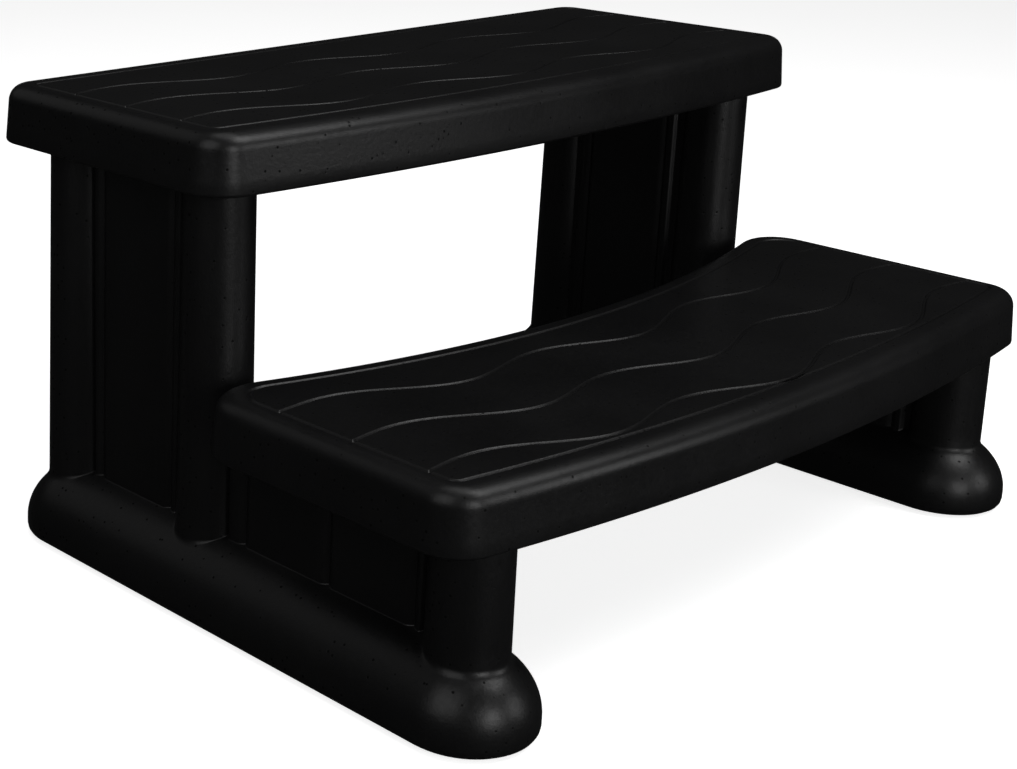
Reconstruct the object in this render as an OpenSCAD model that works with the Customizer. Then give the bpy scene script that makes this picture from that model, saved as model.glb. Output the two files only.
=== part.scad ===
// Two-tread spa steps: a pair of hollow moulded side frames carrying two hollow moulded treads.
// Frame of reference: +Z up, +X to the right as seen from the front, -Y towards the user.
// The origin is on the floor at the centre of the footprint. Millimetres throughout.

/* [Overall] */
// Height of the upper tread's standing surface
upper_h = 406; // [396:1:430]
// Height of the lower tread's standing surface
lower_h = 203; // [195:1:215]
// Distance from the centre plane to each side frame's mid plane
frame_x = 338; // [320:1:340]

/* [Treads] */
// Half of the upper tread's length
upper_half = 390; // [385:1:400]
// Half of the lower tread's length
lower_half = 396; // [390:1:405]
// Thickness of each tread
tread_t = 50; // [46:1:54]
// Corner radius of the treads in plan
corner_r = 30; // [24:1:36]
// Corner radius at the rear of the lower tread
lower_rear_corner_r = 58; // [40:1:60]
// Radius of the rounded top edge
edge_r = 15; // [12:1:19]
// How far the upper tread's front edge bows forward at the middle
upper_bow = 23; // [0:1:26]
// How far the lower tread's front edge bows forward at the middle
lower_front_bow = 32; // [10:1:34]
// How far the lower tread's rear edge bows forward at the middle
lower_rear_bow = 67; // [30:1:70]

/* [Side frames] */
// Radius of the vertical columns at their top
column_r = 29; // [27:0.5:31]
// Radius that the columns' draft adds down to the floor
column_draft = 3; // [1:0.5:4]
// Half width of the runner foot
foot_half = 55.5; // [50:0.5:58]
// Height of the foot's crown, which lies inside the panels
foot_h = 69; // [66:1:74]
// Distance from a frame's mid plane to its panels' outer face
panel_out = 14; // [12:0.5:20]
// Distance from a frame's mid plane to its panels' inner face
panel_in = 24; // [20:0.5:25]
// Wall thickness of the hollow mouldings
wall = 4; // [3:0.5:5]

/* [Surface lines] */
// Width of the engraved lines on the treads
line_w = 3; // [2:0.5:4]
// Depth of the engraved lines
line_depth = 1.6; // [1:0.2:2.4]
// Distance between the waves' crests
wave_pitch = 210; // [180:1:240]
// Height of the waves either side of their centre line
wave_swing = 12; // [6:0.5:13]

/* [Hardware] */
// Length of the self-tapping screws under the head
screw_len = 25; // [20:1:26]
// Outer radius of the screws' thread
screw_r = 2.5; // [2:0.1:2.6]

/* [Hidden] */
$fn = 64;
eps = 0.01;
cut = 1;                 // how far a cutting tool runs past the face it opens

// Places along the depth. Front is -Y.
rear_y = 286;            // rear edge of the upper tread
upper_front_y = 0;       // upper tread's front edge at its ends
lower_rear_y = 32;       // lower tread's rear edge at its ends
lower_front_y = -254;    // lower tread's front edge at its ends
rear_column_y = 223;
mid_column_y = 50;
front_column_y = -222;
foot_front_y = -222;     // centre of the foot's front round
foot_rear_y = 216;       // centre of the foot's rear round

// Heights
foot_lift = 2;           // the rubber pads hold the frames this far off the floor
upper_seat = upper_h - tread_t;   // underside of the upper tread, top of the tall part of a frame
lower_seat = lower_h - tread_t;   // underside of the lower tread, top of the low part of a frame

// Tread section
tread_draft = 2.5;       // the edge leans in by this much from bottom to top
under_r = 3;             // small round along the bottom edge
arc_steps = 3;           // facets round the top edge
corner_steps = 5;        // facets round a corner in plan
span_steps = 16;         // facets along the length

// Frame section
valley_run = 29;         // from a column's axis to the panel's edge
valley_deep = 4;         // how far the valley beside a column lies below the panel
foot_side_z = 15;        // the foot's side is upright up to here
foot_bottom_r = 8;
shoulder_side = 1.6;     // superellipse powers: how the shoulder leaves the side and the crown
shoulder_crown = 2.08;
shoulder_steps = 9;
groove_w = 13;           // V grooves that divide the panels into planks
groove_deep = 3;
tall_groove_y = [91.5, 181.5];
low_groove_y = [-181, -94, -1];

// Engraved lines: each wave is [centre line at x = 0, how far it falls back towards the ends]
border_inset = 21;       // border line's distance from the ends and the long edges
upper_border_extra = 6;  // extra distance from the upper tread's long edges
lower_border_extra = 3;
wave_steps = 44;
upper_waves = [[45.5, 22], [116.5, 19], [185, 16]];
lower_waves = [[-245, 44], [-175, 47], [-104, 53]];

// Tenons on top of the frames and their sockets in the treads
tenon_h = 12;
tenon_r = 17;
small_tenon_r = 11;
small_tenon_y = -60;
tenon_gap = 0.6;
socket_wall = 5;

// Screw pockets on the frames' inner faces
upper_screw_y = [117, 157];
lower_screw_y = [-150, -30];
flange_t = 8;            // solid flange between a pocket and the tread
pocket_h = 36;
pocket_half_w = 12;
pocket_back = -9;        // the pocket's back wall, from the frame's mid plane
screw_clear = 0.5;

// Screw and washer
head_r = 5.5;
head_h = 3.8;
washer_r = 8;
washer_t = 1.2;
thread_pitch = 2;
thread_depth = 0.7;
pilot_gap = 0.1;
slot_w = 1.2;
slot_deep = 2;

// Vent plug
plug_r = 5;
plug_head_r = 9;
plug_head_t = 2;
plug_recess = 2.5;
plug_land = 8;           // thickness of the moulding where a plug goes through
plug_gap = 0.2;
plug_y = 0;              // place along a foot
upper_vent_y = 140;
lower_vent_y = -150;

// Foot pads
pad_r = 30;
pad_t = 5;
pad_gap = 0.5;
pad_stem_r = 4;
pad_stem_h = 8;
pad_recess = pad_t - foot_lift;

// Tack-offs: dimples pressed up from a tread's underside until they meet the top skin
tack_x = [-250, -150, -50, 50, 150, 250];
upper_tack_y = [85, 205];
lower_tack_y = [-165, -65];
tack_r = 13;
tack_top_r = 7;

// ---------- treads ----------

// Forward bow of an edge at x, full at the middle and nothing at the ends
function bow(x, half, depth) = depth * (1 - pow(x / half, 2));

// One edge point each side of the tread, at a station given by x and the corner's setback there
function stations(half, inset, corner) =
    let (r = max(corner - inset, 3), span = half - inset - r)
    concat(
        [for (i = [0 : corner_steps]) let (a = 90 * i / corner_steps)
            [-span - r * cos(a), r * (1 - sin(a))]],
        [for (i = [1 : span_steps - 1]) [-span + 2 * span * i / span_steps, 0]],
        [for (i = [corner_steps : -1 : 0]) let (a = 90 * i / corner_steps)
            [span + r * cos(a), r * (1 - sin(a))]]
    );

// Closed outline at height z: the front edge left to right, then the rear edge right to left
function outline(half, front, rear, front_bow, rear_bow, rear_corner, inset, z) =
    let (near = stations(half, inset, corner_r), far = stations(half, inset, rear_corner))
    concat(
        [for (p = near) [p.x, front - bow(p.x, half, front_bow) + inset + p.y, z]],
        [for (i = [len(far) - 1 : -1 : 0]) let (p = far[i])
            [p.x, rear - bow(p.x, half, rear_bow) - inset - p.y, z]]
    );

// Solid through a stack of outlines. The caps are strips of quads, so a curved outline stays true.
module skin(rings) {
    n = len(rings[0]);
    half = n / 2;
    last = len(rings) - 1;
    function strip(base, up) = [
        for (i = [0 : half - 2])
            let (a = base + i, b = base + i + 1, c = base + n - 2 - i, d = base + n - 1 - i)
            each up ? [[a, d, c], [a, c, b]] : [[a, b, c], [a, c, d]]
    ];
    sides = [
        for (l = [0 : last - 1], i = [0 : n - 1])
            let (j = (i + 1) % n, a = l * n + i, b = l * n + j, c = a + n, d = b + n)
            each [[a, c, d], [a, d, b]]
    ];
    polyhedron(points = [for (r = rings) each r],
               faces = concat(strip(0, false), sides, strip(last * n, true)));
}

// Height above the underside and inset of each ring of a tread's outer skin
function tread_section(t) = concat(
    [[0, under_r], [under_r * 0.3, under_r * 0.3], [under_r, 0]],
    [for (i = [0 : arc_steps]) let (a = 90 * i / arc_steps)
        [t - edge_r + edge_r * sin(a), tread_draft + edge_r * (1 - cos(a))]]
);

// The same for the hollow inside it
function hollow_section(t) = [
    [wall, wall + under_r * 0.5],
    [t - edge_r, wall + tread_draft],
    [t - wall - edge_r * 0.3, wall + tread_draft + edge_r * 0.25],
    [t - wall, wall + tread_draft + edge_r * 0.75]
];

// A wave line's y, its slope, and a point beside it at the given distance
function wave_y(w, half, x) = w[0] + w[1] * pow(x / half, 2) - wave_swing * cos(360 * x / wave_pitch);
function wave_slope(w, half, x) =
    2 * w[1] * x / pow(half, 2) + wave_swing * 2 * PI / wave_pitch * sin(360 * x / wave_pitch);
function beside(w, half, x, d) =
    let (m = wave_slope(w, half, x), k = d / sqrt(1 + m * m)) [x - m * k, wave_y(w, half, x) + k];

module wave_line(w, half) {
    reach = half - border_inset - line_w / 2;
    xs = [for (i = [0 : wave_steps]) -reach + 2 * reach * i / wave_steps];
    polygon(concat(
        [for (x = xs) beside(w, half, x, -line_w / 2)],
        [for (i = [wave_steps : -1 : 0]) beside(w, half, xs[i], line_w / 2)]
    ));
}

module border_area(half, front, rear, front_bow, rear_bow, rear_corner, extra, inset) {
    line = outline(half, front + extra, rear - extra, front_bow, rear_bow, rear_corner, inset, 0);
    polygon([for (p = line) [p.x, p.y]]);
}

// The border line and the three waves inside it, cut into a tread's top
module surface_lines(half, front, rear, front_bow, rear_bow, rear_corner, extra, waves, top) {
    inner = border_inset + line_w;
    translate([0, 0, top - line_depth]) linear_extrude(line_depth + cut) {
        difference() {
            border_area(half, front, rear, front_bow, rear_bow, rear_corner, extra, border_inset);
            border_area(half, front, rear, front_bow, rear_bow, rear_corner, extra, inner);
        }
        for (w = waves) wave_line(w, half);
    }
}

module tread_block(half, front, rear, front_bow, rear_bow, rear_corner, z0, section) {
    skin([for (s = section)
        outline(half, front, rear, front_bow, rear_bow, rear_corner, s[1], z0 + s[0])]);
}

// Rows of tack-offs that follow a bow
module tack_offs(z0, ys, tack_bow, grow) {
    for (x = tack_x, y = ys)
        translate([x, y - bow(x, lower_half, tack_bow), z0 - cut])
            cylinder(r1 = tack_r + grow, r2 = tack_top_r + grow, h = tread_t - wall + cut);
}

// Sockets in a tread, each [x, y, tenon radius]
function socket_places(tenons) = [for (s = [-1, 1], t = tenons) [s * frame_x, t[0], t[1]]];

module tread(half, front, rear, front_bow, rear_bow, rear_corner, z0, tenons, screw_ys, tack_ys,
             vent_y) {
    boss_h = screw_len - flange_t + 4;
    tack_bow = (front_bow + rear_bow) / 2;
    difference() {
        tread_block(half, front, rear, front_bow, rear_bow, rear_corner, z0, tread_section(tread_t));
        difference() {
            tread_block(half, front, rear, front_bow, rear_bow, rear_corner, z0,
                        hollow_section(tread_t));
            for (p = socket_places(tenons))
                translate([p[0], p[1], z0])
                    cylinder(r = p[2] + tenon_gap + socket_wall, h = tenon_h + socket_wall + 1);
            for (s = [-1, 1], y = screw_ys)
                translate([s * frame_x, y, z0]) cylinder(r = 9, h = boss_h);
            tack_offs(z0, tack_ys, tack_bow, wall);
            translate([0, vent_y, z0]) cylinder(r = plug_head_r + wall, h = plug_land);
        }
        for (p = socket_places(tenons))
            translate([p[0], p[1], z0 - cut]) cylinder(r = p[2] + tenon_gap, h = tenon_h + 1 + cut);
        for (s = [-1, 1], y = screw_ys)
            translate([s * frame_x, y, z0 - cut])
                cylinder(r = screw_r + pilot_gap, h = boss_h - 2 + cut);
        tack_offs(z0, tack_ys, tack_bow, 0);
        translate([0, vent_y, z0]) vent_hole();
    }
}

module upper_tread() {
    color([0.07, 0.07, 0.07]) difference() {
        tread(upper_half, upper_front_y, rear_y, upper_bow, 0, corner_r, upper_seat,
              [[mid_column_y, tenon_r], [rear_column_y, tenon_r]], upper_screw_y,
              upper_tack_y, upper_vent_y);
        surface_lines(upper_half, upper_front_y, rear_y, upper_bow, 0, corner_r,
                      upper_border_extra, upper_waves, upper_h);
    }
}

module lower_tread() {
    color([0.07, 0.07, 0.07]) difference() {
        tread(lower_half, lower_front_y, lower_rear_y, lower_front_bow, lower_rear_bow,
              lower_rear_corner_r, lower_seat,
              [[front_column_y, tenon_r], [small_tenon_y, small_tenon_r]], lower_screw_y,
              lower_tack_y, lower_vent_y);
        surface_lines(lower_half, lower_front_y, lower_rear_y, lower_front_bow, lower_rear_bow,
                      lower_rear_corner_r, lower_border_extra, lower_waves, lower_h);
    }
}

// ---------- side frames: mid plane at x = 0, inner face towards +X ----------

// The foot's shoulder is a superellipse: full width at foot_side_z, and a crown at foot_h.
function shoulder_point(a, inset) =
    [(foot_half - inset) * pow(sin(a), 2 / shoulder_side),
     foot_side_z + (foot_h - inset - foot_side_z) * pow(cos(a), 2 / shoulder_crown)];

// Height of the shoulder at a distance from the foot's mid plane
function shoulder_z(x) =
    foot_side_z + (foot_h - foot_side_z)
        * pow(1 - pow(x / foot_half, shoulder_side), 1 / shoulder_crown);

// Half section of the foot. inset shrinks it for the hollow inside.
function foot_section(inset) =
    let (w = foot_half - inset, r = foot_bottom_r, z0 = foot_lift + inset)
    concat(
        [[0, z0]],
        [for (i = [0 : 3]) let (a = -90 + 30 * i) [w - r + r * cos(a), z0 + r + r * sin(a)]],
        [for (i = [0 : shoulder_steps]) shoulder_point(90 - 90 * i / shoulder_steps, inset)]
    );

module foot(inset) {
    half = foot_section(inset);
    mirrored = [for (i = [len(half) - 2 : -1 : 1]) [-half[i].x, half[i].y]];
    translate([0, foot_rear_y, 0]) rotate_extrude(angle = 180) polygon(half);
    translate([0, foot_front_y, 0]) rotate([0, 0, 180]) rotate_extrude(angle = 180) polygon(half);
    translate([0, foot_rear_y, 0]) rotate([90, 0, 0])
        linear_extrude(foot_rear_y - foot_front_y) polygon(concat(half, mirrored));
}

module column(y, top, inset) {
    start = foot_side_z - 7;
    r0 = column_r + column_draft * (1 - start / upper_seat) - inset;
    r1 = column_r + column_draft * (1 - top / upper_seat) - inset;
    translate([0, y, start]) cylinder(r1 = r0, r2 = r1, h = top - inset - start);
}

module slab(half_out, half_in, y0, y1, top) {
    translate([-half_out, y0, foot_side_z]) cube([half_out + half_in, y1 - y0, top - foot_side_z]);
}

// Panel between two columns, with a lower valley beside each column. inset makes the hollow.
module panel(y0, y1, top, inset) {
    slab(panel_out - valley_deep - inset, panel_in - valley_deep - inset, y0, y1, top - inset);
    deep = inset > 0 ? inset + 2 : 0;    // the hollow keeps clear of the V grooves
    slab(panel_out - deep, panel_in - deep, y0 + valley_run + inset, y1 - valley_run - inset,
         top - inset);
}

// V groove down the face of a panel, from the foot's shoulder to the top. side is -1 or 1.
module v_groove(y, face, side, top) {
    half = groove_w / 2;
    start = shoulder_z(face);
    translate([0, y, start]) linear_extrude(top - start + cut)
        polygon([[side * (face + cut), half], [side * face, half], [side * (face - groove_deep), 0],
                 [side * face, -half], [side * (face + cut), -half]]);
}

module v_grooves(ys, top) {
    for (y = ys) {
        v_groove(y, panel_out, -1, top);
        v_groove(y, panel_in, 1, top);
    }
}

module tenon(y, seat, r, inset) {
    translate([0, y, seat - wall - inset]) cylinder(r = r - inset, h = tenon_h + wall);
}

module pocket(y, seat, grow) {
    translate([pocket_back - grow, y - pocket_half_w - grow, seat - flange_t - pocket_h - grow])
        cube([panel_in - pocket_back + cut, 2 * (pocket_half_w + grow),
              pocket_h + (grow > 0 ? flange_t + grow : 0)]);
}

module pockets(grow) {
    for (y = upper_screw_y) pocket(y, upper_seat, grow);
    for (y = lower_screw_y) pocket(y, lower_seat, grow);
}

module vent_hole() {
    translate([0, 0, -cut]) cylinder(r = plug_head_r, h = plug_recess + cut);
    translate([0, 0, -cut]) cylinder(r = plug_r, h = plug_land + 2 * cut);
}

module side_frame() {
    difference() {
        union() {
            foot(0);
            column(rear_column_y, upper_seat, 0);
            column(mid_column_y, upper_seat, 0);
            column(front_column_y, lower_seat, 0);
            panel(mid_column_y, rear_column_y, upper_seat, 0);
            panel(front_column_y, mid_column_y, lower_seat, 0);
            tenon(rear_column_y, upper_seat, tenon_r, 0);
            tenon(mid_column_y, upper_seat, tenon_r, 0);
            tenon(front_column_y, lower_seat, tenon_r, 0);
            tenon(small_tenon_y, lower_seat, small_tenon_r, 0);
        }
        difference() {
            union() {
                foot(wall);
                column(rear_column_y, upper_seat, wall);
                column(mid_column_y, upper_seat, wall);
                column(front_column_y, lower_seat, wall);
                panel(mid_column_y, rear_column_y, upper_seat, wall);
                panel(front_column_y, mid_column_y, lower_seat, wall);
                tenon(rear_column_y, upper_seat, tenon_r, wall);
                tenon(mid_column_y, upper_seat, tenon_r, wall);
                tenon(front_column_y, lower_seat, tenon_r, wall);
                tenon(small_tenon_y, lower_seat, small_tenon_r, wall);
            }
            pockets(wall);
            translate([0, plug_y, foot_lift]) cylinder(r = plug_head_r + wall, h = plug_land);
            for (y = [foot_front_y, foot_rear_y]) translate([0, y, foot_lift]) {
                cylinder(r = pad_r + wall, h = pad_recess + wall);
                cylinder(r = pad_stem_r + wall, h = pad_recess + pad_stem_h + wall);
            }
        }
        pockets(0);
        v_grooves(tall_groove_y, upper_seat);
        v_grooves(low_groove_y, lower_seat);
        for (y = upper_screw_y) translate([0, y, upper_seat - flange_t - cut])
            cylinder(r = screw_r + screw_clear, h = flange_t + 2 * cut);
        for (y = lower_screw_y) translate([0, y, lower_seat - flange_t - cut])
            cylinder(r = screw_r + screw_clear, h = flange_t + 2 * cut);
        translate([0, plug_y, foot_lift]) vent_hole();
        for (y = [foot_front_y, foot_rear_y]) translate([0, y, foot_lift - cut]) {
            cylinder(r = pad_r, h = pad_recess + cut);
            cylinder(r = pad_stem_r + pad_gap / 2, h = pad_recess + pad_stem_h + cut);
        }
    }
}

// Puts a part built on the left frame's mid plane onto the left (-1) or right (+1) frame
module on_side(side) {
    translate([side * frame_x, 0, 0]) mirror([side > 0 ? 1 : 0, 0, 0]) children();
}

module left_side_frame() { color([0.06, 0.06, 0.06]) on_side(-1) side_frame(); }
module right_side_frame() { color([0.06, 0.06, 0.06]) on_side(1) side_frame(); }

// ---------- hardware ----------

// Ringed shank of a self-tapping screw, with its point
function shank_section() =
    let (n = floor((screw_len - 4) / thread_pitch), r = screw_r, core = screw_r - thread_depth)
    concat(
        [[0, 0], [core, 0]],
        [for (i = [0 : n - 1]) each [[core, (i + 0.25) * thread_pitch], [r, (i + 0.6) * thread_pitch],
                                     [core, (i + 0.95) * thread_pitch]]],
        [[core, screw_len - 3], [0.3, screw_len], [0, screw_len]]
    );

// Head below z = 0, shank upwards
module screw() {
    difference() {
        union() {
            rotate_extrude() polygon(shank_section());
            rotate([180, 0, 0]) rotate_extrude()
                polygon(concat([[0, -eps], [head_r, -eps]],
                               [for (i = [1 : 5]) let (a = 15 * i)
                                   [head_r * cos(a), head_h * sin(a)]], [[0, head_h]]));
        }
        for (a = [0, 90]) rotate([0, 0, a])
            translate([-head_r * 0.55, -slot_w / 2, -head_h - cut])
                cube([head_r * 1.1, slot_w, slot_deep + cut]);
    }
}

module screws(side, ys, seat) {
    color([0.72, 0.72, 0.74]) on_side(side) for (y = ys)
        translate([0, y, seat - flange_t - washer_t]) screw();
}

module washers(side, ys, seat) {
    color([0.66, 0.66, 0.68]) on_side(side) for (y = ys)
        translate([0, y, seat - flange_t - washer_t]) difference() {
            cylinder(r = washer_r, h = washer_t);
            translate([0, 0, -cut]) cylinder(r = screw_r + screw_clear, h = washer_t + 2 * cut);
        }
}

// Push-in plug: head in the recess, barb inside the moulding
module vent_plug() {
    color([0.05, 0.05, 0.05]) {
        translate([0, 0, plug_recess - plug_head_t]) cylinder(r = plug_head_r - plug_gap, h = plug_head_t);
        translate([0, 0, plug_recess - eps]) cylinder(r = plug_r - plug_gap, h = plug_land - plug_recess);
        translate([0, 0, plug_land + plug_gap - eps]) cylinder(r1 = plug_r + 0.6, r2 = plug_r - 1, h = 3);
        translate([0, 0, plug_recess]) cylinder(r = plug_r - 2, h = plug_land);
    }
}

// Rubber pad with a stem that pushes up into the foot, and two grip grooves below
module foot_pad() {
    color([0.1, 0.1, 0.1]) difference() {
        union() {
            cylinder(r = pad_r - pad_gap, h = pad_t);
            translate([0, 0, pad_t - eps]) cylinder(r = pad_stem_r, h = pad_stem_h);
        }
        for (r = [12, 21]) translate([0, 0, -cut]) difference() {
            cylinder(r = r + 1.5, h = 1.2 + cut);
            cylinder(r = r - 1.5, h = 1.2 + cut);
        }
    }
}

left_side_frame();
right_side_frame();
upper_tread();
lower_tread();
screws(-1, upper_screw_y, upper_seat);  // upper_left_screws
screws(1, upper_screw_y, upper_seat);  // upper_right_screws
screws(-1, lower_screw_y, lower_seat);  // lower_left_screws
screws(1, lower_screw_y, lower_seat);  // lower_right_screws
washers(-1, upper_screw_y, upper_seat);  // upper_left_washers
washers(1, upper_screw_y, upper_seat);  // upper_right_washers
washers(-1, lower_screw_y, lower_seat);  // lower_left_washers
washers(1, lower_screw_y, lower_seat);  // lower_right_washers
on_side(-1) translate([0, plug_y, foot_lift]) vent_plug();  // left_frame_vent_plug
on_side(1) translate([0, plug_y, foot_lift]) vent_plug();  // right_frame_vent_plug
translate([0, upper_vent_y, upper_seat]) vent_plug();  // upper_tread_vent_plug
translate([0, lower_vent_y, lower_seat]) vent_plug();  // lower_tread_vent_plug
on_side(-1) translate([0, foot_front_y, 0]) foot_pad();  // left_front_foot_pad
on_side(-1) translate([0, foot_rear_y, 0]) foot_pad();  // left_rear_foot_pad
on_side(1) translate([0, foot_front_y, 0]) foot_pad();  // right_front_foot_pad
on_side(1) translate([0, foot_rear_y, 0]) foot_pad();  // right_rear_foot_pad
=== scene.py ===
"""Looks of the moulded spa steps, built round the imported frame."""

import math

import bmesh
import bpy
import numpy as np
from mathutils import Matrix, Vector


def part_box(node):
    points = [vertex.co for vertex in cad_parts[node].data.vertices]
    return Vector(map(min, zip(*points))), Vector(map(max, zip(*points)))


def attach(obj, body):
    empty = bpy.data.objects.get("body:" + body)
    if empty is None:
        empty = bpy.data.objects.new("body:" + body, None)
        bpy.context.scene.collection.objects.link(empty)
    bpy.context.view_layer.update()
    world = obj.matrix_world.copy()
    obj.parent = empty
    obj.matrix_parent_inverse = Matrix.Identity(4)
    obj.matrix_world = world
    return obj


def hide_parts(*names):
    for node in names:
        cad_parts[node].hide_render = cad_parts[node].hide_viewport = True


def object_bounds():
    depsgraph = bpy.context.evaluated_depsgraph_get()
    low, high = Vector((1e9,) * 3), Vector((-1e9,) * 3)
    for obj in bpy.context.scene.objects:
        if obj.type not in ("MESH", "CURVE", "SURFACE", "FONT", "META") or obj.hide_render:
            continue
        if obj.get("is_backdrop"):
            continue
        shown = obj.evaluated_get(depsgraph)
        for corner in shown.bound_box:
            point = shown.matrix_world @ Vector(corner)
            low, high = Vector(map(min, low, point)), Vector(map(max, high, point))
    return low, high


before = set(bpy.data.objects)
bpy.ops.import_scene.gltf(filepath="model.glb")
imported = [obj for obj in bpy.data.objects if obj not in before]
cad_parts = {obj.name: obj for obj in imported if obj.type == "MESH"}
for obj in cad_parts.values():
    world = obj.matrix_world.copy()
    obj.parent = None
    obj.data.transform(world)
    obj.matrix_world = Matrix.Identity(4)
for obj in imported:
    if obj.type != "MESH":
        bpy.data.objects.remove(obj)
cad_low, cad_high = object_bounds()
MM = 0.001

# ---------------------------------------------------------------- places taken from the frame


def box_mm(node):
    """The low and high corners of a node's box, in mm."""
    low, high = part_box(node)
    return np.array(low) / MM, np.array(high) / MM


CORNER_R = 30.0
CORNER_STEPS = 5  # the CAD's steps round a corner, which set where a tread's box ends
EDGE_R = 15.0
UNDER_R = 3.0
DRAFT = 2.5


def tread_plan(node, front_bow, rear_bow, rear_corner, border_extra, waves, tacks):
    """A tread's plan sizes, in mm. Each long edge is a parabola that bows towards the user."""
    low, high = box_mm(node)
    half = high[0]
    turn = np.radians(np.linspace(0, 90, CORNER_STEPS + 1))
    across = half - rear_corner * (1 - np.cos(turn))
    behind = -rear_bow * (1 - (across / half) ** 2) - rear_corner * (1 - np.sin(turn))
    return {
        "half": half,
        "front": low[1] + front_bow,
        "rear": high[1] - behind.max(),
        "front_bow": front_bow,
        "rear_bow": rear_bow,
        "front_corner": CORNER_R,
        "rear_corner": rear_corner,
        "low": low[2],
        "top": high[2],
        "extra": border_extra,
        "waves": waves,
        "tacks": tacks,
    }


# Each wave is its centre line's y at x = 0, and how far that falls back towards the ends.
UPPER = tread_plan(
    "upper_tread", front_bow=23.0, rear_bow=0.0, rear_corner=CORNER_R, border_extra=6.0,
    waves=[(45.5, 22.0), (116.5, 19.0), (185.0, 16.0)], tacks=(85.0, 205.0),
)
LOWER = tread_plan(
    "lower_tread", front_bow=32.0, rear_bow=67.0, rear_corner=58.0, border_extra=3.0,
    waves=[(-245.0, 44.0), (-175.0, 47.0), (-104.0, 53.0)], tacks=(-165.0, -65.0),
)
WAVE_PITCH = 210.0
WAVE_SWING = 12.0
BORDER_INSET = 22.5
LINE_HALF = 2.2
LINE_FLOOR_HALF = 0.5
LINE_DEPTH = 1.7
TACK_X = (-250.0, -150.0, -50.0, 50.0, 150.0, 250.0)

frame_low, frame_high = box_mm("left_side_frame")
FRAME_X = -(frame_low[0] + frame_high[0]) / 2
FOOT_HALF = (frame_high[0] - frame_low[0]) / 2
FOOT_Z = frame_low[2]
FOOT_FRONT = frame_low[1] + FOOT_HALF
FOOT_REAR = frame_high[1] - FOOT_HALF
COLUMN_R = 29.0
COLUMN_DRAFT = 3.0
COLUMN_Y = (-222.0, 50.0, 223.0)
PANEL_OUT = 14.0
PANEL_IN = 24.0
VALLEY_RUN = 29.0
VALLEY_DEEP = 4.0
VALLEY_RISE = 3.6  # run of the slope from a valley up to the panel
GROOVE_HALF = 6.5
GROOVE_DEEP = 3.0
GROOVE_POWER = 1.6
PANEL_STEP = 9.0
LOW_GROOVES = (-181.0, -94.0, -1.0)
TALL_GROOVES = (91.5, 181.5)
FOOT_CROWN = 69.0
FOOT_SIDE = 15.0
FOOT_UNDER_R = 8.0
SHOULDER_SIDE = 1.6
SHOULDER_CROWN = 2.08
WALL_Z = 62.0  # height at which the walls' outline meets the foot
COLUMN_COVE = 4.0
PANEL_COVE = 1.0
COVE_START = 20.0  # distance from the mid plane at which the cove starts to widen
COVE_RUN = 11.0
SHARP_DEG = 38
POCKET_BACK = 9.0
POCKET_REACH = 40.0
POCKET_HALF = 12.0
POCKET_H = 36.0
POCKET_CORNER = 4.0
POCKET_FLARE = 1.03
SCREW_HOLE_R = 3.0
PLUG_SEAT_R = 9.0
PLUG_SEAT_DEEP = 2.5
PLUG_HOLE_R = 5.0
PAD_SEAT_Z = 5.0
PAD_STEM_R = 4.25
PAD_STEM_TOP = 14.0
FILLET = np.radians([0, 22.5, 45, 67.5, 90])  # steps round the small fillets

# ---------------------------------------------------------------- mesh helpers


def new_mesh(name, points, faces):
    """A smooth-shaded object from points in mm."""
    mesh = bpy.data.meshes.new(name)
    mesh.from_pydata((np.asarray(points, float) * MM).tolist(), [], [list(f) for f in faces])
    mesh.validate()
    made = bpy.data.objects.new(name, mesh)
    bpy.context.scene.collection.objects.link(made)
    bm = bmesh.new()
    bm.from_mesh(mesh)
    bmesh.ops.recalc_face_normals(bm, faces=bm.faces)
    bm.to_mesh(mesh)
    bm.free()
    mesh.polygons.foreach_set("use_smooth", [True] * len(mesh.polygons))
    return made


def cut_away(target, cutters, sharp_deg):
    """Cuts every cutter out of the target, then marks the edges steeper than sharp_deg."""
    with bpy.context.temp_override(
        active_object=cutters[0], selected_editable_objects=cutters, selected_objects=cutters
    ):
        bpy.ops.object.join()
    tool = cutters[0]
    step = target.modifiers.new("cut", "BOOLEAN")
    step.operation = "DIFFERENCE"
    step.solver = "EXACT"
    step.object = tool
    depsgraph = bpy.context.evaluated_depsgraph_get()
    result = bpy.data.meshes.new_from_object(target.evaluated_get(depsgraph))
    target.modifiers.clear()
    old = target.data
    target.data = result
    bpy.data.meshes.remove(old)
    bpy.data.objects.remove(tool)
    result.name = target.name
    result.set_sharp_from_angle(angle=math.radians(sharp_deg))


def lathe_tool(x, y, section, steps=32):
    """A closed turned cutter. The section is (radius, z) from bottom to top, in mm."""
    points = [(x, y, section[0][1])]
    for r, z in section:
        for i in range(steps):
            a = 2 * math.pi * i / steps
            points.append((x + r * math.cos(a), y + r * math.sin(a), z))
    points.append((x, y, section[-1][1]))
    faces = []
    for i in range(steps):
        j = (i + 1) % steps
        faces.append((0, 1 + j, 1 + i))
        for k in range(len(section) - 1):
            a, b = 1 + k * steps, 1 + (k + 1) * steps
            faces.append((a + i, a + j, b + j, b + i))
        last = 1 + (len(section) - 1) * steps
        faces.append((last + i, last + j, len(points) - 1))
    return new_mesh("tool", points, faces)


def smooth_step(t):
    t = np.clip(t, 0, 1)
    return t * t * (3 - 2 * t)


# ---------------------------------------------------------------- treads

ARC = 5  # columns and rows on each half of a corner
MIDDLE_COLUMNS = 106
CORNER_ROWS = ARC + 4
GAP_STEPS = 7
CORNER_GAP = 8.0  # from a corner's start to the first shared column
UNDER_INSET = 12.0
EDGE_STEPS = 12
LEAST_R = 5.0
GROOVE_STOPS = (-2.7, -2.2, -1.75, -1.25, -0.7, 0.0, 0.7, 1.25, 1.75, 2.2, 2.7)


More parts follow.
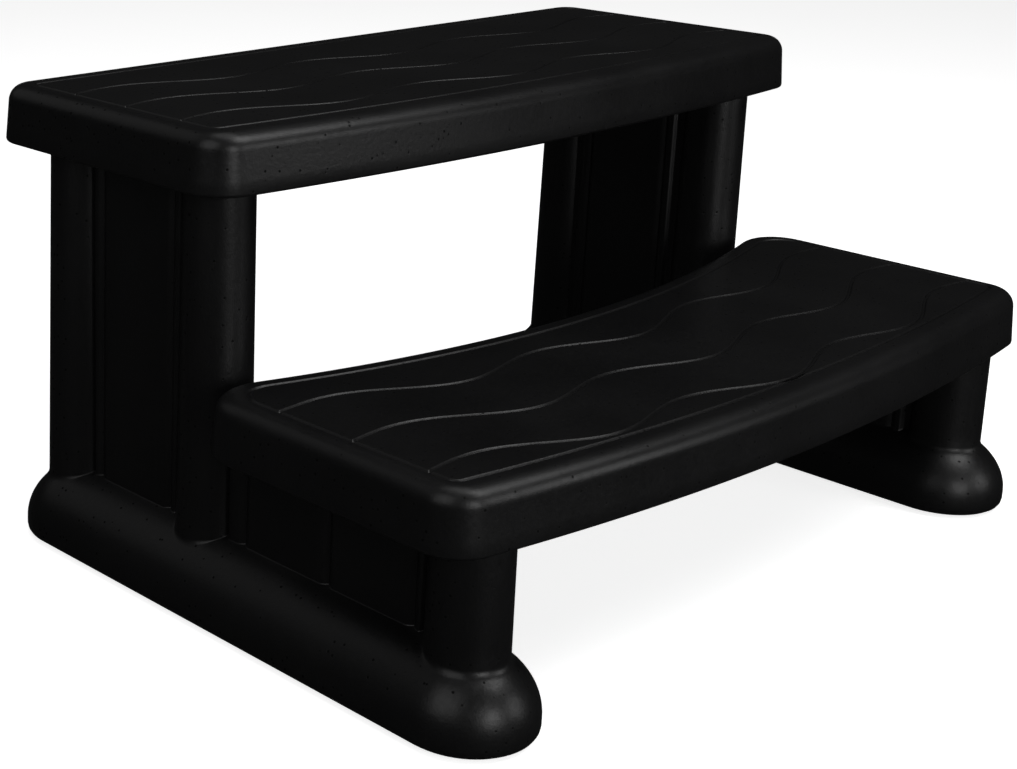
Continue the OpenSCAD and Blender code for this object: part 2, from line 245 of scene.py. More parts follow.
def line_depth(offset):
    """Depth of an engraved line at a distance from its centre."""
    share = (LINE_HALF - abs(offset)) / (LINE_HALF - LINE_FLOOR_HALF)
    return LINE_DEPTH * float(smooth_step(share))


def bow(plan, side, x):
    """How far a long edge bows towards the user at x."""
    return plan[side + "_bow"] * (1 - (x / plan["half"]) ** 2)


def wave(plan, index, x):
    """A wave line's y at x, and its slope there."""
    base, back = plan["waves"][index]
    turn = 2 * math.pi / WAVE_PITCH
    y = base + back * (x / plan["half"]) ** 2 - WAVE_SWING * np.cos(turn * x)
    slope = 2 * back * x / plan["half"] ** 2 + WAVE_SWING * turn * np.sin(turn * x)
    return y, slope


def row_table(plan):
    """Rows from front to rear: (kind, wave or gap, offset or share, depth)."""
    rows = []
    for w in range(len(plan["waves"])):
        rows += [("line", w, s, line_depth(s)) for s in GROOVE_STOPS]
        if w + 1 < len(plan["waves"]):
            rows += [("gap", w, t, 0.0) for t in np.linspace(0, 1, GAP_STEPS + 1)[1:-1]]
    return rows


def row_y(plan, row, x):
    """A mesh row's y at x. Rows run along a wave line, or share out the gap behind it."""
    kind, w, value, _ = row
    y, slope = wave(plan, w, x)
    run = np.sqrt(1 + slope * slope)
    if kind == "line":
        return y + value * run
    edge = GROOVE_STOPS[-1]
    after, after_slope = wave(plan, w + 1, x)
    start, stop = y + edge * run, after - edge * np.sqrt(1 + after_slope * after_slope)
    return start + (stop - start) * value


def build_tread(name, plan):
    """A tread's shell: rings up its side and over its edge, closed by two grids of quads."""
    half = plan["half"]
    rows = row_table(plan)
    n_cols = 2 * ARC + MIDDLE_COLUMNS
    n_rows = 2 * CORNER_ROWS + len(rows) - 1
    level_half = half - CORNER_R - CORNER_GAP
    shared_x = np.linspace(-level_half, level_half, MIDDLE_COLUMNS - 1)

    def side_depth(j):
        k = j - CORNER_ROWS
        return rows[k][3] if 0 <= k < len(rows) else 0.0

    def ring(inset, extra, z, line=None):
        """Points round the outline: front, right, rear, left. The first is the front left corner."""
        edge = half - inset
        turn = np.radians(45 * np.arange(ARC + 1) / ARC)
        rest = np.radians(45 + 45 * np.arange(ARC + 1) / ARC)

        def long_side(side, sign):
            """A long edge up to the middle of its corners, then the other half of the right one."""
            corner_r = plan[side + "_corner"]
            r = max(corner_r - inset, LEAST_R)
            span = edge - r
            level = shared_x * (half - corner_r - CORNER_GAP) / shared_x[-1]
            x = np.concatenate([-(span + r * np.sin(turn[::-1])), level, span + r * np.sin(turn)])
            lift = np.concatenate(
                [r * (1 - np.cos(turn[::-1])), np.zeros(len(level)), r * (1 - np.cos(turn))]
            )
            cx = span + r * np.sin(rest)
            corner = plan[side] - bow(plan, side, cx)
            corner += sign * (inset + extra + r * (1 - np.cos(rest)))
            y = plan[side] - bow(plan, side, x) + sign * (inset + extra + lift)
            return x, y, cx, corner

        fx, fy, near_x, near = long_side("front", 1)
        rx, ry, far_x, far = long_side("rear", -1)
        middle = np.array([row_y(plan, row, edge - (BORDER_INSET - inset)) for row in rows])
        fill = np.arange(1, CORNER_ROWS - ARC) / (CORNER_ROWS - ARC)
        y = np.concatenate([
            near,
            near[-1] + (middle[0] - near[-1]) * fill,
            middle,
            far[-1] + (middle[-1] - far[-1]) * fill[::-1],
            far[::-1],
        ])
        x = np.concatenate([near_x, np.full(n_rows + 1 - 2 * (ARC + 1), edge), far_x[::-1]])
        border = 0.0 if line is None else line_depth(line)
        depth = np.full(n_rows + 1, border)
        if line is not None and line >= 0:
            depth = np.maximum(depth, [side_depth(j) for j in range(n_rows + 1)])
        points = [(fx[i], fy[i], z - border) for i in range(n_cols)]
        points += [(x[j], y[j], z - depth[j]) for j in range(n_rows)]
        points += [(rx[i], ry[i], z - border) for i in range(n_cols, 0, -1)]
        points += [(-x[j], y[j], z - depth[j]) for j in range(n_rows, 0, -1)]
        return np.array(points)

    def core(edge_ring, z, engraved):
        """Grid of points inside the ring, its border taken from the ring. Rows follow the waves."""
        grid = np.zeros((n_rows + 1, n_cols + 1, 3))
        grid[0, :n_cols] = edge_ring[:n_cols]
        grid[:n_rows, n_cols] = edge_ring[n_cols : n_cols + n_rows]
        grid[n_rows, n_cols:0:-1] = edge_ring[n_cols + n_rows : 2 * n_cols + n_rows]
        grid[n_rows:0:-1, 0] = edge_ring[2 * n_cols + n_rows :]
        first, last = CORNER_ROWS, n_rows - CORNER_ROWS
        reach = grid[first, n_cols, 0]
        ease = np.linspace(-reach, shared_x[0], ARC + 2)[:-1]
        x_mid = np.concatenate([ease, shared_x, -ease[::-1]])
        for j in range(first, last + 1):
            row = rows[j - CORNER_ROWS]
            grid[j, 1:n_cols, 0] = x_mid[1:n_cols]
            grid[j, 1:n_cols, 1] = row_y(plan, row, x_mid[1:n_cols])
            grid[j, 1:n_cols, 2] = z - (row[3] if engraved else 0.0)
        fade = np.clip(1 - np.arange(n_cols + 1) / (2 * ARC), 0, 1) ** 2
        for a, b in ((0, first), (n_rows, last)):
            for step in range(1, abs(b - a)):
                t = step / abs(b - a)
                j = a + step * (1 if b > a else -1)
                line = (1 - t) * grid[a] + t * grid[b]
                left = grid[j, 0] - line[0]
                right = grid[j, n_cols] - line[n_cols]
                moved = line + fade[:, None] * left + fade[::-1, None] * right
                grid[j, 1:n_cols] = moved[1:n_cols]
                grid[j, 1:n_cols, 2] = z
        return grid

    top, low = plan["top"], plan["low"]
    last_inset = BORDER_INSET + GROOVE_STOPS[-1]
    rings = [ring(last_inset, plan["extra"], low), ring(UNDER_INSET, 0, low)]
    for a in FILLET:
        rings.append(ring(UNDER_R * (1 - math.sin(a)), 0, low + UNDER_R * (1 - math.cos(a))))
    side_top = top - low - EDGE_R
    for t in (0.33, 0.66):
        rings.append(ring(DRAFT * t, 0, low + UNDER_R + (side_top - UNDER_R) * t))
    for a in np.radians(np.linspace(0, 90, EDGE_STEPS + 1)):
        inset = DRAFT + EDGE_R * (1 - math.cos(a))
        rings.append(ring(inset, 0, low + side_top + EDGE_R * math.sin(a)))
    for s in GROOVE_STOPS:
        rings.append(ring(BORDER_INSET + s, plan["extra"], top, s))

    count = 2 * (n_cols + n_rows)
    points = np.concatenate(rings)
    faces = []
    for k in range(len(rings) - 1):
        a, b = k * count, (k + 1) * count
        for i in range(count):
            j = (i + 1) % count
            faces.append((a + i, a + j, b + j, b + i))
    extra_points = []

    def cap(ring_index, z, engraved, up):
        """Closes a ring with the grid of quads whose border it is."""
        base = ring_index * count
        grid = core(rings[ring_index], z, engraved)
        index = np.full((n_rows + 1, n_cols + 1), -1)
        index[0, :n_cols] = base + np.arange(n_cols)
        index[:n_rows, n_cols] = base + n_cols + np.arange(n_rows)
        index[n_rows, n_cols:0:-1] = base + n_cols + n_rows + np.arange(n_cols)
        index[n_rows:0:-1, 0] = base + 2 * n_cols + n_rows + np.arange(n_rows)
        start = len(points) + sum(len(e) for e in extra_points)
        index[1:n_rows, 1:n_cols] = start + np.arange((n_rows - 1) * (n_cols - 1)).reshape(
            n_rows - 1, n_cols - 1
        )
        extra_points.append(grid[1:n_rows, 1:n_cols].reshape(-1, 3))
        for j in range(n_rows):
            for i in range(n_cols):
                quad = (index[j, i], index[j, i + 1], index[j + 1, i + 1], index[j + 1, i])
                faces.append(quad if up else quad[::-1])

    cap(0, low, False, False)
    cap(len(rings) - 1, top, True, True)
    return new_mesh(name, np.concatenate([points] + extra_points), faces)


def plug_tool(node, z):
    """A cutter for a vent plug's seat and hole in an underside at height z."""
    low, high = box_mm(node)
    x, y = (low[:2] + high[:2]) / 2
    floor = z + PLUG_SEAT_DEEP
    return lathe_tool(x, y, [
        (PLUG_SEAT_R + 0.6, z - 1), (PLUG_SEAT_R, z + 0.6), (PLUG_SEAT_R, floor),
        (PLUG_HOLE_R, floor), (PLUG_HOLE_R, z + 12),
    ])


def tread_tools(plan, plug_node):
    """Cutters for the tack-off dimples and the vent plug's seat."""
    low, top = plan["low"], plan["top"]
    tools = []
    middle_bow = (plan["front_bow"] + plan["rear_bow"]) / 2
    for x in TACK_X:
        for y in plan["tacks"]:
            at = y - middle_bow * (1 - (x / LOWER["half"]) ** 2)
            # a flared mouth, a tapered side and a rounded tip under the top skin
            tools.append(lathe_tool(x, at, [
                (17.5, low - 1), (16.0, low), (14.3, low + 0.8), (13.2, low + 2.6),
                (8.0, top - 11), (7.0, top - 8), (4.0, top - 6.2), (1.0, top - 6),
            ]))
    tools.append(plug_tool(plug_node, low))
    return tools


# ---------------------------------------------------------------- side frames

COVE_STEPS = 8
COVE_RINGS = 7
SHOULDER_STEPS = 27
FOOT_RINGS = 23
V_STOPS = (-1.0, -0.8, -0.55, -0.3, -0.1, 0.0, 0.1, 0.3, 0.55, 0.8, 1.0)
RISE = (0.0, 0.12, 0.3, 0.5, 0.7, 0.88, 1.0)


def panel_stations(y0, y1, half, grooves, radius):
    """(y, x) along one face of the panel between two columns, x measured from the mid plane."""
    valley = half - VALLEY_DEEP
    run = math.sqrt(radius**2 - valley**2)
    start = max(run + 0.8, VALLEY_RUN)
    out = []
    for t in RISE:
        out.append((y0 + start + VALLEY_RISE * t, valley + VALLEY_DEEP * float(smooth_step(t))))
    last = y0 + start + VALLEY_RISE
    stops = [g for g in grooves if y0 < g < y1]
    for g in stops + [None]:
        edge = y1 - start - VALLEY_RISE if g is None else g - GROOVE_HALF
        count = max(2, int(abs(edge - last) / PANEL_STEP))
        out += [(last + (edge - last) * i / count, half) for i in range(1, count)]
        if g is not None:
            for s in V_STOPS:
                deep = GROOVE_DEEP * (1 - abs(s)) ** GROOVE_POWER
                out.append((g + GROOVE_HALF * s, half - deep))
            last = g + GROOVE_HALF
    for t in RISE[::-1]:
        out.append((y1 - start - VALLEY_RISE * t, valley + VALLEY_DEEP * float(smooth_step(t))))
    return out


def column_arc(centre, radius, start, stop, count):
    """(y, x) round a column, with the angles in degrees from the face's middle."""
    angles = np.radians(np.linspace(start, stop, count))
    return [(centre + radius * math.sin(a), radius * math.cos(a)) for a in angles]


def face_line(half, z, tall_only):
    """(y, x) along one face from the front of the first column to the back of the rear column."""
    radius = COLUMN_R + COLUMN_DRAFT * (1 - z / UPPER["low"])
    valley = math.degrees(math.acos((half - VALLEY_DEEP) / radius))
    front, mid, rear = COLUMN_Y
    out = []
    if tall_only:
        out += column_arc(mid, radius, -90, -valley, 14)[:-1]
    else:
        out += column_arc(front, radius, -90, valley, 30)
        out += panel_stations(front, mid, half, LOW_GROOVES, radius)
    out += column_arc(mid, radius, -valley, valley, 22)
    out += panel_stations(mid, rear, half, TALL_GROOVES, radius)
    out += column_arc(rear, radius, -valley, 90, 30)
    return out


def outline(z, tall_only):
    """Closed outline of a frame's wall at height z. The outer face is -X, the inner face +X."""
    inner = face_line(PANEL_IN, z, tall_only)
    outer = face_line(PANEL_OUT, z, tall_only)
    points = [(x, y) for y, x in inner[:-1]] + [(-x, y) for y, x in outer[:0:-1]]
    points[0] = (0.0, points[0][1])
    return np.array(points)


def foot_height(rho):
    """The shoulder is a superellipse: full width at FOOT_SIDE and a crown inside the panels."""
    drop = (np.minimum(rho, FOOT_HALF) / FOOT_HALF) ** SHOULDER_SIDE
    return FOOT_SIDE + (FOOT_CROWN - FOOT_SIDE) * (1 - drop) ** (1 / SHOULDER_CROWN)


def foot_rings(base):
    """Rings from the wall's foot out over the cove and shoulder, down the side and under the foot."""
    anchor = np.column_stack([np.zeros(len(base)), np.clip(base[:, 1], FOOT_FRONT, FOOT_REAR)])
    away = base - anchor
    rho0 = np.linalg.norm(away, axis=1)
    away /= rho0[:, None]
    turn = np.radians(np.linspace(0, 90, COVE_STEPS + 1))
    sections = []
    for r in rho0:
        share = float(smooth_step((r - COVE_START) / COVE_RUN))
        reach = PANEL_COVE + (COLUMN_COVE - PANEL_COVE) * share
        cove = r + reach * (1 - np.cos(turn))
        line = [(c, foot_height(c) + reach * (1 - math.sin(t))) for c, t in zip(cove, turn)]
        begin = math.asin((cove[-1] / FOOT_HALF) ** (SHOULDER_SIDE / 2))
        for a in np.linspace(begin, math.pi / 2, SHOULDER_STEPS + 1)[1:]:
            rho = FOOT_HALF * math.sin(a) ** (2 / SHOULDER_SIDE)
            rise = max(math.cos(a), 0.0) ** (2 / SHOULDER_CROWN)
            line.append((rho, FOOT_SIDE + (FOOT_CROWN - FOOT_SIDE) * rise))
        line = np.array(line)
        along = np.concatenate([[0], np.cumsum(np.linalg.norm(np.diff(line, axis=0), axis=1))])
        cove_end = along[COVE_STEPS]
        want = np.concatenate([
            np.linspace(0, cove_end, COVE_RINGS),
            np.linspace(cove_end, along[-1], FOOT_RINGS - COVE_RINGS + 1)[1:],
        ])
        sections.append(np.column_stack([
            np.interp(want, along, line[:, 0]), np.interp(want, along, line[:, 1])
        ]))
    sections = np.array(sections)
    for k in range(FOOT_RINGS):
        rho, z = sections[:, k, 0], sections[:, k, 1]
        yield np.column_stack([anchor + away * rho[:, None], z])
    for a in FILLET:
        rho = FOOT_HALF - FOOT_UNDER_R * (1 - math.cos(a))
        z = FOOT_Z + FOOT_UNDER_R * (1 - math.sin(a))
        yield np.column_stack([anchor + away * rho, np.full(len(base), z)])


def build_frame(name, side):
    """A frame's shell: rings up the foot and its walls, a ledge at the lower seat, then the tall
    part. side is -1 for the left frame and 1 for the right one."""
    low_seat, high_seat = LOWER["low"], UPPER["low"]
    base = outline(WALL_Z, False)
    count = len(base)
    rings = list(foot_rings(base))[::-1]
    start_z = rings[-1][:, 2].copy()
    for t in (0.2, 0.4, 0.6, 0.8, 1.0):
        flat = outline(WALL_Z + (low_seat - WALL_Z) * t, False)
        rings.append(np.column_stack([flat, start_z + (low_seat - start_z) * t]))
    points = list(np.concatenate(rings))
    faces = [tuple(range(count))[::-1]]
    for k in range(len(rings) - 1):
        a, b = k * count, (k + 1) * count
        faces += [(a + i, a + (i + 1) % count, b + (i + 1) % count, b + i) for i in range(count)]
    ledge = (len(rings) - 1) * count

    tall = outline(low_seat, True)
    lower_line = outline(low_seat, False)
    nearest = [int(np.argmin(np.linalg.norm(lower_line - p, axis=1))) for p in tall]
    shared = [np.linalg.norm(lower_line[n] - p) < 1e-6 for n, p in zip(nearest, tall)]
    ids = []
    for p, n, same in zip(tall, nearest, shared):
        if same:
            ids.append(ledge + n)
        else:
            ids.append(len(points))
            points.append(np.array([p[0], p[1], low_seat]))
    first = shared.index(True)
    last = len(shared) - 1 - shared[::-1].index(True)
    front_part = [ledge + i for i in range(nearest[first] + 1)]
    front_part = [ledge + i for i in range(nearest[last], count)] + front_part
    arc = ids[last + 1 :] + ids[:first]
    faces.append(tuple(front_part + arc[::-1]))
    below = ids
    for t in (0.25, 0.5, 0.75, 1.0):
        z = low_seat + (high_seat - low_seat) * t
        flat = outline(z, True)
        above = list(range(len(points), len(points) + len(flat)))
        points += [np.array([p[0], p[1], z]) for p in flat]
        n = len(flat)
        faces += [(below[i], below[(i + 1) % n], above[(i + 1) % n], above[i]) for i in range(n)]
        below = above
    faces.append(tuple(below))
    points = np.array(points)
    points[:, 0] = side * FRAME_X - side * points[:, 0]
    return new_mesh(name, points, faces)


def pocket_tool(x0, x1, y0, y1, z0, z1):
    """A box cutter from x0 to x1 with its four long edges rounded, a little wider at x1."""
    r, n = POCKET_CORNER, 5
    flat = []
    for cy, cz, start in ((y1 - r, z0 + r, -90), (y1 - r, z1 - r, 0),
                          (y0 + r, z1 - r, 90), (y0 + r, z0 + r, 180)):
        for i in range(n + 1):
            a = math.radians(start + 90 * i / n)
            flat.append((cy + r * math.cos(a), cz + r * math.sin(a)))
    m = len(flat)
    points = np.array([(x, y, z) for x in (x0, x1) for y, z in flat])
    middle = (y0 + y1) / 2
    points[m:, 1] = middle + (points[m:, 1] - middle) * POCKET_FLARE
    faces = [tuple(range(m))[::-1], tuple(range(m, 2 * m))]
    faces += [(i, (i + 1) % m, m + (i + 1) % m, m + i) for i in range(m)]
    return new_mesh("tool", points, faces)


def frame_tools(side, word):
    """Cutters for the screw pockets and holes, the pads' seats and the vent plug's seat."""
    tools = []
    x_mid = side * FRAME_X
    inward = -side
    for level, seat in (("upper", UPPER["low"]), ("lower", LOWER["low"])):
        low, high = box_mm(f"{level}_{word}_washers")
        radius = (high[0] - low[0]) / 2
        roof = high[2]
        for y in (low[1] + radius, high[1] - radius):
            tools.append(pocket_tool(
                x_mid - inward * POCKET_BACK, x_mid + inward * POCKET_REACH,
                y - POCKET_HALF, y + POCKET_HALF, roof - POCKET_H, roof,
            ))
            hole = [(SCREW_HOLE_R, roof - 1), (SCREW_HOLE_R, seat + 1)]
            tools.append(lathe_tool(x_mid, y, hole, 24))
    for end in ("front", "rear"):
        low, high = box_mm(f"{word}_{end}_foot_pad")
        x, y = (low[:2] + high[:2]) / 2
        radius = (high[0] - low[0]) / 2
        tools.append(lathe_tool(x, y, [
            (radius + 1.7, FOOT_Z - 1), (radius + 0.6, FOOT_Z + 0.3), (radius + 0.5, PAD_SEAT_Z),
            (PAD_STEM_R, PAD_SEAT_Z), (PAD_STEM_R, PAD_STEM_TOP),
        ], 64))
    tools.append(plug_tool(f"{word}_frame_vent_plug", FOOT_Z))
    return tools


# ---------------------------------------------------------------- materials


def node_material(name):
    """A new material with its node tree, its main shader and the object's coordinates."""
    material = bpy.data.materials.new(name)
    material.use_nodes = True
    tree = material.node_tree
    shader = tree.nodes["Principled BSDF"]
    place = tree.nodes.new("ShaderNodeTexCoord").outputs["Object"]
    return material, tree, shader, place


def noise(tree, place, scale, detail=2.0, rough=0.5):
    """Noise from 0 to 1, with scale in cells per metre."""
    made = tree.nodes.new("ShaderNodeTexNoise")
    made.inputs["Scale"].default_value = scale
    made.inputs["Detail"].default_value = detail
    made.inputs["Roughness"].default_value = rough
    tree.links.new(place, made.inputs["Vector"])
    return made.outputs["Fac"]


def ramp(tree, value, low, high, out_low, out_high):
    """Maps low..high to out_low..out_high and holds the ends."""
    made = tree.nodes.new("ShaderNodeMapRange")
    made.inputs["From Min"].default_value = low
    made.inputs["From Max"].default_value = high
    made.inputs["To Min"].default_value = out_low
    made.inputs["To Max"].default_value = out_high
    tree.links.new(value, made.inputs["Value"])
    return made.outputs["Result"]


def maths(tree, kind, a, b):
    """One step of arithmetic on two values, each a number or a node's output."""
    made = tree.nodes.new("ShaderNodeMath")
    made.operation = kind
    for slot, value in zip(made.inputs, (a, b)):
        if isinstance(value, (int, float)):
            slot.default_value = value
        else:
            tree.links.new(value, slot)
    return made.outputs[0]


def mix_colour(tree, share, first, second):
    made = tree.nodes.new("ShaderNodeMix")
    made.data_type = "RGBA"
    tree.links.new(share, made.inputs["Factor"])
    for socket, value in ((made.inputs[6], first), (made.inputs[7], second)):
        if isinstance(value, tuple):
            socket.default_value = (*value, 1)
        else:
            tree.links.new(value, socket)
    return made.outputs[2]


def add_bump(tree, shader, height, distance, strength=1.0, before=None):
    """Bumps the shader's normal by a height, on top of an earlier bump's normal if there is one."""
    made = tree.nodes.new("ShaderNodeBump")
    made.inputs["Strength"].default_value = strength
    made.inputs["Distance"].default_value = distance
    tree.links.new(height, made.inputs["Height"])
    if before is not None:
        tree.links.new(before, made.inputs["Normal"])
    tree.links.new(made.outputs["Normal"], shader.inputs["Normal"])
    return made.outputs["Normal"]


PIT_PICK = 0.62  # a cell has a pit when its random value is above this


def pits(tree, place, scale, size):
    """Scattered pits: 1 inside a pit, 0 elsewhere."""
    cells = tree.nodes.new("ShaderNodeTexVoronoi")
    cells.inputs["Scale"].default_value = scale
    cells.inputs["Randomness"].default_value = 1.0
    tree.links.new(place, cells.inputs["Vector"])
    near = ramp(tree, cells.outputs["Distance"], size * 0.6, size, 1.0, 0.0)
    pick = tree.nodes.new("ShaderNodeSeparateColor")
    tree.links.new(cells.outputs["Color"], pick.inputs["Color"])
    return maths(tree, "MULTIPLY", near, maths(tree, "GREATER_THAN", pick.outputs["Red"], PIT_PICK))


def moulded_plastic():
    """Black moulded plastic: cloudy, pebbled and grained, with scattered dull pits whose colour is
    darkened as painted shade.
    """
    material, tree, shader, place = node_material("moulded_black_polyethylene")
    cloud = noise(tree, place, 9, 3)
    grain = noise(tree, place, 900, 2)
    pebble = noise(tree, place, 260, 3, 0.6)
    holes = pits(tree, place, 150, 0.2)
    base = mix_colour(tree, cloud, (0.003, 0.003, 0.0032), (0.005, 0.005, 0.0052))
    # painted shade: each pit's colour is darkened to stand in for the shade inside it; the pits'
    # dent, dullness and lower shine are real
    painted_pit_shade = mix_colour(tree, holes, base, (0.001, 0.001, 0.001))
    tree.links.new(painted_pit_shade, shader.inputs["Base Color"])
    rough = maths(tree, "ADD", ramp(tree, cloud, 0.3, 0.7, 0.33, 0.41),
                  ramp(tree, pebble, 0.3, 0.7, -0.03, 0.04))
    rough = maths(tree, "ADD", rough, maths(tree, "MULTIPLY", holes, 0.3))
    tree.links.new(rough, shader.inputs["Roughness"])
    shader.inputs["IOR"].default_value = 1.5
    shine = maths(tree, "SUBTRACT", 0.42, maths(tree, "MULTIPLY", holes, 0.3))
    tree.links.new(shine, shader.inputs["Specular IOR Level"])
    skin = add_bump(tree, shader, pebble, 0.00022, 0.7)
    fine = add_bump(tree, shader, grain, 0.00006, 0.6, skin)
    add_bump(tree, shader, maths(tree, "MULTIPLY", holes, -1.0), 0.0003, 0.3, fine)
    return material


def steel(name, shade, direction):
    """Machined steel. direction stretches the tool marks along the axis with the least scale."""
    material, tree, shader, place = node_material(name)
    stretch = tree.nodes.new("ShaderNodeMapping")
    stretch.inputs["Scale"].default_value = direction
    tree.links.new(place, stretch.inputs["Vector"])
    lines = noise(tree, stretch.outputs["Vector"], 420, 3, 0.6)
    cloud = noise(tree, place, 60, 3)
    dim = tuple(c * 0.72 for c in shade)
    tree.links.new(mix_colour(tree, cloud, dim, shade), shader.inputs["Base Color"])
    tree.links.new(ramp(tree, lines, 0.3, 0.7, 0.24, 0.42), shader.inputs["Roughness"])
    shader.inputs["Metallic"].default_value = 1.0
    add_bump(tree, shader, lines, 0.00004, 0.5)
    return material


def soft_black(name, shade, rough, pebble_scale):
    """Soft plastic or rubber with a fine pebble."""
    material, tree, shader, place = node_material(name)
    cloud = noise(tree, place, 45, 3)
    pebble = noise(tree, place, pebble_scale, 3, 0.6)
    pale = tuple(c * 1.7 for c in shade)
    tree.links.new(mix_colour(tree, cloud, shade, pale), shader.inputs["Base Color"])
    tree.links.new(ramp(tree, pebble, 0.3, 0.7, rough - 0.06, rough + 0.08),
                   shader.inputs["Roughness"])
    shader.inputs["Specular IOR Level"].default_value = 0.35
    add_bump(tree, shader, pebble, 0.00015, 0.6)
    return material


# ---------------------------------------------------------------- build the pieces

PLASTIC = moulded_plastic()


def finish_shell(piece, tools, node):
    """Cuts the tools out of a shell, gives it the plastic and shows it in place of its node."""
    cut_away(piece, tools, SHARP_DEG)
    piece.data.materials.clear()
    piece.data.materials.append(PLASTIC)
    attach(piece, "root")
    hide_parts(node)


for name, plan, plug in (("upper_tread", UPPER, "upper_tread_vent_plug"),
                         ("lower_tread", LOWER, "lower_tread_vent_plug")):
    piece = build_tread(name + "_shell", plan)
    finish_shell(piece, tread_tools(plan, plug), name)

for side, word in ((-1, "left"), (1, "right")):
    piece = build_frame(word + "_frame_shell", side)
    finish_shell(piece, frame_tools(side, word), word + "_side_frame")

FINISHES = {
    "screws": steel("screw_steel", (0.62, 0.62, 0.64), (1.0, 1.0, 0.1)),
    "washers": steel("washer_steel", (0.52, 0.52, 0.54), (1.0, 0.12, 1.0)),
    "plug": soft_black("plug_plastic", (0.006, 0.006, 0.006), 0.5, 420),
    "pad": soft_black("pad_rubber", (0.011, 0.011, 0.011), 0.72, 640),
}
for node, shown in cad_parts.items():
    finish = FINISHES.get(node.split("_")[-1])
    if finish:
        shown.data.materials.clear()
        shown.data.materials.append(finish)

# ---------------------------------------------------------------- floor, light and camera


FLOOR_LIFT = 0.8
AMBIENT = 0.015
FLOOR_HALF = 12
LIGHT_AIM = Vector((0, 0, 0.2))
LIGHT_DISTANCE = 2.4
CAMERA_AT = (-1.3053, -1.007, 0.7006)
CAMERA_TURN = (38.889, 14.886, -0.199)  # yaw, pitch and roll in degrees
CAMERA_LENS = 66.08
CAMERA_SHIFT = (("shift_x", 0.395), ("shift_y", -0.158))


def make_floor():
    """Pale paper. What only the camera sees is lifted, so the paper stays white under soft light."""
    mesh = bpy.data.meshes.new("floor")
    bm = bmesh.new()
    bmesh.ops.create_grid(bm, x_segments=2, y_segments=2, size=FLOOR_HALF)
    bm.to_mesh(mesh)
    bm.free()
    floor = bpy.data.objects.new("floor", mesh)
    bpy.context.scene.collection.objects.link(floor)
    material, tree, shader, place = node_material("floor_paper")
    tone = mix_colour(tree, noise(tree, place, 3, 3), (0.86, 0.86, 0.86), (0.9, 0.9, 0.9))
    tree.links.new(tone, shader.inputs["Base Color"])
    shader.inputs["Roughness"].default_value = 0.9
    shader.inputs["Specular IOR Level"].default_value = 0.1
    shader.inputs["Emission Color"].default_value = (1, 1, 1, 1)
    path = tree.nodes.new("ShaderNodeLightPath")
    lift = maths(tree, "MULTIPLY", path.outputs["Is Camera Ray"], FLOOR_LIFT)
    tree.links.new(lift, shader.inputs["Emission Strength"])
    mesh.materials.append(material)
    floor.visible_glossy = False
    floor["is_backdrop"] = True


def soft_light(name, azimuth, elevation, size, power):
    """A square soft box aimed at the steps. Azimuth 0 is in front, and 90 is on the right."""
    data = bpy.data.lights.new(name, "AREA")
    data.size = size
    data.energy = power
    light = bpy.data.objects.new(name, data)
    az, el = math.radians(azimuth), math.radians(elevation)
    away = Vector((math.sin(az) * math.cos(el), -math.cos(az) * math.cos(el), math.sin(el)))
    light.location = LIGHT_AIM + LIGHT_DISTANCE * away
    light.rotation_euler = (-away).to_track_quat("-Z", "Y").to_euler()
    bpy.context.scene.collection.objects.link(light)
    light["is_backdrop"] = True
    return light


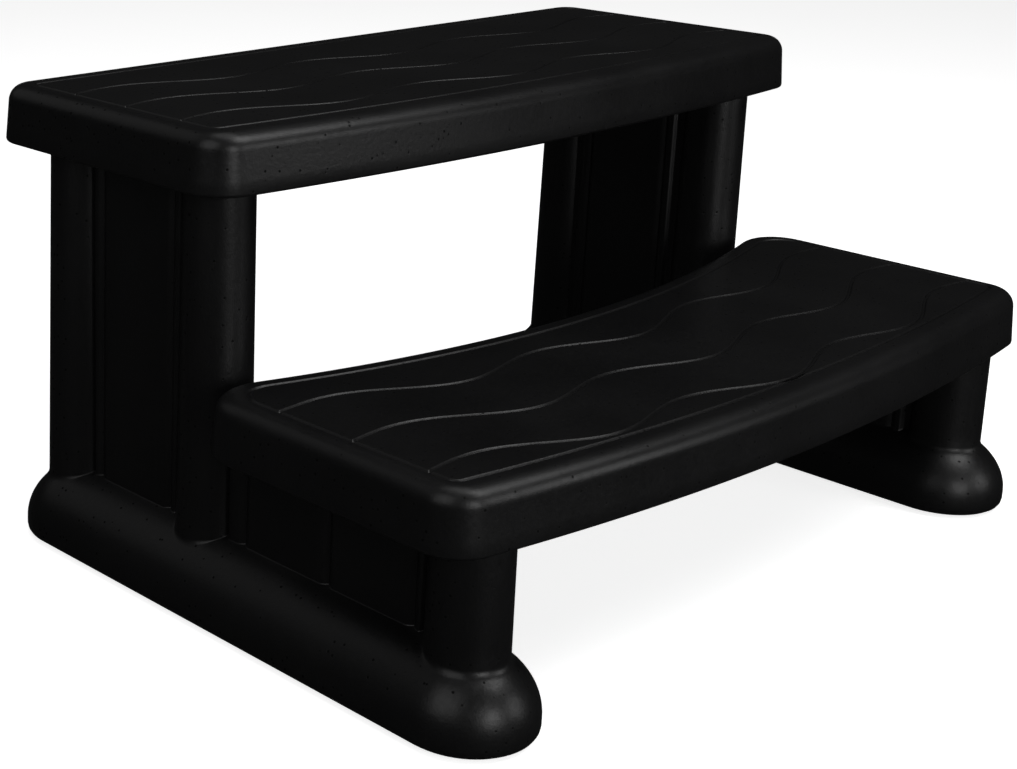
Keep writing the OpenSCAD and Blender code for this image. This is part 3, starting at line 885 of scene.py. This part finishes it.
def make_world():
    """White to the camera, and a faint even light to everything else."""
    world = bpy.data.worlds.new("studio")
    bpy.context.scene.world = world
    world.use_nodes = True
    tree = world.node_tree
    back = tree.nodes["Background"]
    path = tree.nodes.new("ShaderNodeLightPath")
    seen = tree.nodes.new("ShaderNodeBackground")
    seen.inputs["Color"].default_value = (1, 1, 1, 1)
    seen.inputs["Strength"].default_value = 1.0
    back.inputs["Color"].default_value = (1, 1, 1, 1)
    back.inputs["Strength"].default_value = AMBIENT
    mix = tree.nodes.new("ShaderNodeMixShader")
    tree.links.new(path.outputs["Is Camera Ray"], mix.inputs["Fac"])
    tree.links.new(back.outputs["Background"], mix.inputs[1])
    tree.links.new(seen.outputs["Background"], mix.inputs[2])
    tree.links.new(mix.outputs["Shader"], tree.nodes["World Output"].inputs["Surface"])


def make_camera():
    """The main view. The lens shift belongs to it: a driver drops the shift when the camera is
    turned by quaternion, so every other view of the steps stays centred."""
    yaw, pitch, roll = (math.radians(a) for a in CAMERA_TURN)
    forward = Vector((
        math.sin(yaw) * math.cos(pitch), math.cos(yaw) * math.cos(pitch), -math.sin(pitch)
    ))
    level = Vector((math.cos(yaw), -math.sin(yaw), 0))
    down = forward.cross(level)
    right = level * math.cos(roll) + down * math.sin(roll)
    up = -(down * math.cos(roll) - level * math.sin(roll))
    data = bpy.data.cameras.new("camera")
    camera = bpy.data.objects.new("camera", data)
    bpy.context.scene.collection.objects.link(camera)
    turn = Matrix((right, up, -forward)).transposed()
    camera.rotation_mode = "XYZ"
    camera.rotation_euler = turn.to_euler("XYZ")
    camera.location = CAMERA_AT
    data.sensor_width = 36.0
    data.lens = CAMERA_LENS
    data.clip_start = 0.05
    for channel, amount in CAMERA_SHIFT:
        curve = data.driver_add(channel)
        curve.driver.type = "SUM"
        source = curve.driver.variables.new()
        source.type = "SINGLE_PROP"
        source.targets[0].id = camera
        source.targets[0].data_path = "rotation_mode"
        for old in list(curve.modifiers):
            curve.modifiers.remove(old)
        for at in (0.0, 1.0):
            curve.keyframe_points.insert(at, amount * at)
        for point in curve.keyframe_points:
            point.interpolation = "LINEAR"
    bpy.context.scene.camera = camera


make_floor()
make_world()
soft_light("front_low", 25, 12, 0.86, 6.5)
soft_light("front_left", -15, 12, 0.86, 10.5)
soft_light("front_high", 28, 56, 1.1, 17)
soft_light("left_side", -80, 30, 1.6, 8)
soft_light("rear_left", -150, 35, 1.6, 1.5)
soft_light("overhead", 0, 88, 1.6, 8)
paper = soft_light("paper", 0, 89, 3.0, 26)
paper.visible_glossy = False
make_camera()
bpy.context.scene.view_settings.view_transform = "Standard"

shown_low, shown_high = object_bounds()
('{"cad": [%s, %s], "shown": [%s, %s]}'
    % tuple(list(v) for v in (cad_low, cad_high, shown_low, shown_high)))
